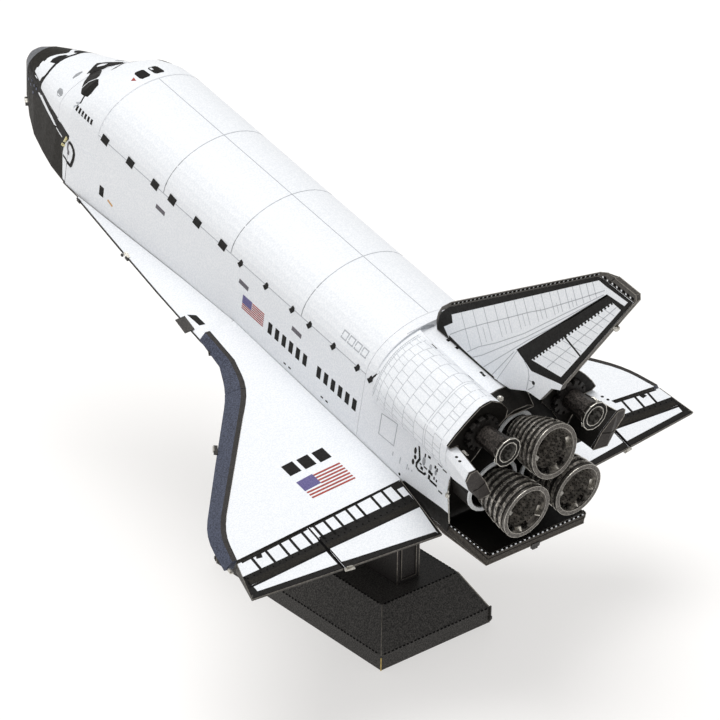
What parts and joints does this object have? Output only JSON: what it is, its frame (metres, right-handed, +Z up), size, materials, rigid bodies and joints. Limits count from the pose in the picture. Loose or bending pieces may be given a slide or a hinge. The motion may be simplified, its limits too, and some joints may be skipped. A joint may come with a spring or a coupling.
{
  "type": "sheet-metal display model of a space shuttle orbiter",
  "caption": "Folded, colour-printed sheet-metal model of a winged space shuttle orbiter, held nose up on a folded black stand with sloping sides.",
  "frame": {"origin": "on the table under the middle of the model's length, in its plane of symmetry", "axes": "+X to the orbiter's left wing, +Y from its nose towards its engines, +Z up"},
  "size_m": [0.0794, 0.1294, 0.0712],
  "materials": {
    "white_print": "satin white print on steel sheet",
    "black_print": "satin black print on steel sheet",
    "edge_print": "speckled blue-grey print on steel sheet",
    "nose_print": "satin grey print on steel sheet",
    "dark_metal": "darkened steel sheet with bright edges",
    "pale_collar": "pale grey print on steel sheet"
  },
  "bodies": {
    "root": {"nose_cap": "nose_print", "nose_chin": "black_print", "nose_upper": "white_print", "cockpit_section": "white_print", "mid_fuselage": "white_print", "bay_shell": "white_print", "aft_fuselage": "white_print", "belly_plate": "black_print", "strake_port": "white_print", "strake_starboard": "white_print", "wing_port": "white_print", "wing_starboard": "white_print", "leading_edge_front_port": "edge_print", "leading_edge_front_starboard": "edge_print", "leading_edge_outer_port": "edge_print", "leading_edge_outer_starboard": "edge_print", "elevon_inboard_port": "white_print", "elevon_inboard_starboard": "white_print", "elevon_outboard_port": "white_print", "elevon_outboard_starboard": "white_print", "fin": "white_print", "rudder": "white_print", "fin_root": "white_print", "pod_port": "white_print", "pod_starboard": "white_print", "pod_plate_port": "black_print", "pod_plate_starboard": "black_print", "aft_bulkhead": "black_print", "thruster_pack_port": "white_print", "thruster_pack_starboard": "white_print", "thruster_housing_port": "black_print", "thruster_housing_starboard": "black_print", "main_engine_top": "dark_metal", "main_engine_port": "dark_metal", "main_engine_starboard": "dark_metal", "engine_collar_top": "pale_collar", "engine_collar_port": "pale_collar", "engine_collar_starboard": "pale_collar", "engine_dome_top": "black_print", "engine_dome_port": "black_print", "engine_dome_starboard": "black_print", "pod_nozzle_port": "dark_metal", "pod_nozzle_starboard": "dark_metal", "pod_nozzle_ring_port": "dark_metal", "pod_nozzle_ring_starboard": "dark_metal", "engine_hood": "black_print", "body_flap": "black_print", "stand_base": "black_print", "stand_post": "black_print"}
  },
  "joints": []
}
